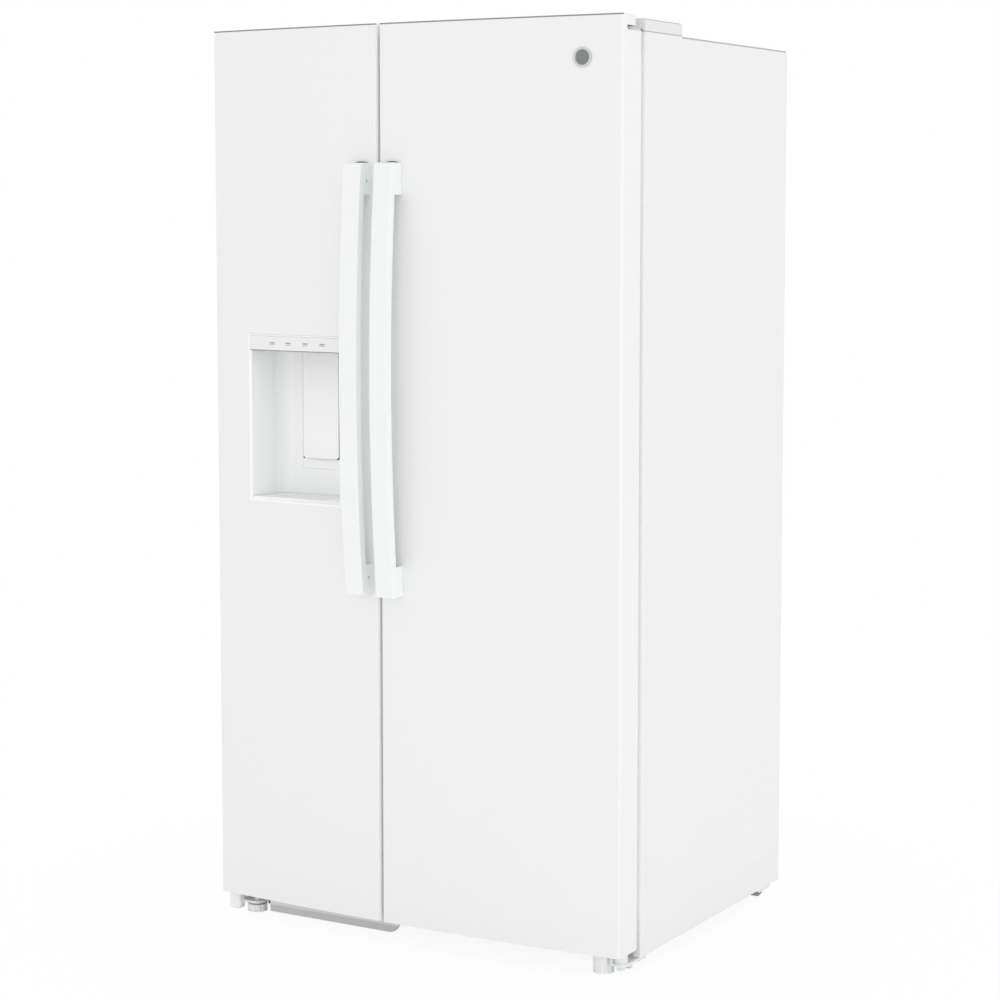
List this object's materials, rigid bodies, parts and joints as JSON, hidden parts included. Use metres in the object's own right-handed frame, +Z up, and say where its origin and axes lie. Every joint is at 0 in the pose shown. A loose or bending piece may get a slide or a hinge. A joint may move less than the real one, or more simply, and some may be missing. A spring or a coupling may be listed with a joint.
{
  "type": "side by side refrigerator",
  "caption": "White side by side refrigerator with bowed doors, curved bar handles, a through-door ice and water dispenser and a fitted interior.",
  "frame": {"origin": "centre of the refrigerator's footprint at floor level, handles included", "axes": "+Z up, +X to the right seen from the front, the doors and handles face -Y"},
  "size_m": [0.908, 0.7864, 1.763],
  "materials": {
    "painted_white": "satin",
    "white_plastic": "satin",
    "handle_white": "gloss",
    "zinc_steel": "zinc plated",
    "coil_aluminium": "plain",
    "white_wire": "epoxy coated wire",
    "black_metal": "satin",
    "dark_plastic": "matte",
    "grey_plastic": "matte",
    "foam": "polyurethane foam",
    "gasket_vinyl": "matte",
    "glass": "clear",
    "clear_plastic": "clear"
  },
  "bodies": {
    "cabinet": {"case_shell": "painted_white", "case_back_panel": "zinc_steel", "cabinet_insulation": "foam", "freezer_liner": "white_plastic", "fresh_food_liner": "white_plastic", "center_mullion": "painted_white", "base_frame": "zinc_steel", "machine_cover": "zinc_steel", "compressor": "black_metal", "condenser_coil": "black_metal", "condenser_fan_motor": "black_metal", "drain_pan": "dark_plastic", "water_valve": "white_plastic", "toe_panel": "grey_plastic", "hinge_brackets": "zinc_steel", "hinge_covers": "painted_white", "freezer_shelves": "white_wire", "icemaker_body": "white_plastic", "ice_bucket": "clear_plastic", "freezer_motors": "black_metal", "evaporator_cover": "white_plastic", "evaporator_coil": "coil_aluminium", "glass_shelves": "glass", "shelf_frames": "white_plastic", "control_housing": "white_plastic"},
    "freezer_door": {"freezer_door_skin": "painted_white", "freezer_door_insulation": "foam", "freezer_door_liner": "white_plastic", "freezer_door_gasket": "gasket_vinyl", "freezer_door_caps": "white_plastic", "freezer_handle": "handle_white", "dispenser_housing": "white_plastic", "dispenser_controls": "white_plastic", "dispenser_tray": "grey_plastic", "freezer_door_bins": "clear_plastic"},
    "paddle": {"dispenser_paddle": "white_plastic"},
    "chute_flap": {"ice_chute_flap": "dark_plastic"},
    "fresh_door": {"fresh_door_skin": "painted_white", "fresh_door_insulation": "foam", "fresh_door_liner": "white_plastic", "fresh_door_gasket": "gasket_vinyl", "fresh_door_caps": "white_plastic", "fresh_handle": "handle_white", "fresh_door_bins": "clear_plastic"},
    "dairy_flap": {"dairy_flap": "clear_plastic"},
    "leg_left": {"leveling_leg_left": "white_plastic"},
    "leg_right": {"leveling_leg_right": "white_plastic"},
    "roller_left": {"rear_roller_left": "dark_plastic"},
    "roller_right": {"rear_roller_right": "dark_plastic"},
    "freezer_basket": {"freezer_basket": "white_wire"},
    "icemaker_rake": {"icemaker_rake": "white_plastic"},
    "shutoff_arm": {"icemaker_shutoff_arm": "zinc_steel"},
    "ice_auger": {"ice_auger": "zinc_steel"},
    "evaporator_fan": {"evaporator_fan": "dark_plastic"},
    "condenser_fan": {"condenser_fan": "dark_plastic"},
    "crisper_upper": {"crisper_upper": "clear_plastic"},
    "crisper_lower": {"crisper_lower": "clear_plastic"},
    "snack_pan": {"snack_pan": "clear_plastic"},
    "humidity_slider": {"humidity_slider": "white_plastic"},
    "water_filter": {"water_filter": "white_plastic"}
  },
  "joints": [
    {"name": "freezer_door_hinge", "type": "hinge", "parent": "cabinet", "child": "freezer_door", "pos_m": [-0.434, -0.27475, 0.9], "axis": [0, 0, -1], "range_deg": [0, 120]},
    {"name": "fresh_door_hinge", "type": "hinge", "parent": "cabinet", "child": "fresh_door", "pos_m": [0.434, -0.27475, 0.9], "axis": [0, 0, 1], "range_deg": [0, 120]},
    {"name": "paddle_press", "type": "hinge", "parent": "freezer_door", "child": "paddle", "pos_m": [-0.257, -0.24475, 1.15], "axis": [1, 0, 0], "range_deg": [0, 5], "stiffness_Nm_per_rad": 3},
    {"name": "chute_flap_swing", "type": "hinge", "parent": "freezer_door", "child": "chute_flap", "pos_m": [-0.257, -0.29175, 1.178], "axis": [-1, 0, 0], "range_deg": [0, 50]},
    {"name": "dairy_flap_swing", "type": "hinge", "parent": "fresh_door", "child": "dairy_flap", "pos_m": [0.17, -0.16875, 1.586], "axis": [1, 0, 0], "range_deg": [0, 70]},
    {"name": "leg_left_turn", "type": "hinge", "parent": "cabinet", "child": "leg_left", "pos_m": [-0.398, -0.27575, 0.01], "axis": [0, 0, 1], "continuous": true},
    {"name": "leg_right_turn", "type": "hinge", "parent": "cabinet", "child": "leg_right", "pos_m": [0.398, -0.27575, 0.01], "axis": [0, 0, 1], "continuous": true},
    {"name": "roller_left_spin", "type": "hinge", "parent": "cabinet", "child": "roller_left", "pos_m": [-0.4275, 0.33125, 0.024], "axis": [1, 0, 0], "continuous": true},
    {"name": "roller_right_spin", "type": "hinge", "parent": "cabinet", "child": "roller_right", "pos_m": [0.4275, 0.33125, 0.024], "axis": [1, 0, 0], "continuous": true},
    {"name": "freezer_basket_slide", "type": "slide", "parent": "cabinet", "child": "freezer_basket", "axis": [0, -1, 0], "range_m": [0, 0.09]},
    {"name": "icemaker_rake_turn", "type": "hinge", "parent": "cabinet", "child": "icemaker_rake", "pos_m": [-0.34185, 0.02025, 1.614], "axis": [0, 1, 0], "continuous": true},
    {"name": "shutoff_arm_lift", "type": "hinge", "parent": "cabinet", "child": "shutoff_arm", "pos_m": [-0.298, -0.07975, 1.616], "axis": [0, -1, 0], "range_deg": [0, 35]},
    {"name": "ice_auger_turn", "type": "hinge", "parent": "cabinet", "child": "ice_auger", "pos_m": [-0.2395, 0.03025, 1.296], "axis": [0, 1, 0], "continuous": true},
    {"name": "evaporator_fan_spin", "type": "hinge", "parent": "cabinet", "child": "evaporator_fan", "pos_m": [-0.2395, 0.30025, 1.12], "axis": [0, 1, 0], "continuous": true},
    {"name": "condenser_fan_spin", "type": "hinge", "parent": "cabinet", "child": "condenser_fan", "pos_m": [0.02, 0.26325, 0.122], "axis": [1, 0, 0], "continuous": true},
    {"name": "crisper_upper_slide", "type": "slide", "parent": "cabinet", "child": "crisper_upper", "axis": [0, -1, 0], "range_m": [0, 0.09]},
    {"name": "crisper_lower_slide", "type": "slide", "parent": "cabinet", "child": "crisper_lower", "axis": [0, -1, 0], "range_m": [0, 0.09]},
    {"name": "snack_pan_slide", "type": "slide", "parent": "cabinet", "child": "snack_pan", "axis": [0, -1, 0], "range_m": [0, 0.09]},
    {"name": "humidity_slider_slide", "type": "slide", "parent": "crisper_upper", "child": "humidity_slider", "axis": [1, 0, 0], "range_m": [0, 0.08]},
    {"name": "water_filter_turn", "type": "hinge", "parent": "cabinet", "child": "water_filter", "pos_m": [0.352, -0.05975, 1.622], "axis": [0, 1, 0], "range_deg": [0, 90]}
  ],
  "couplings": [
    {"joint": "chute_flap_swing", "follows": "paddle_press", "ratio": 10}
  ]
}
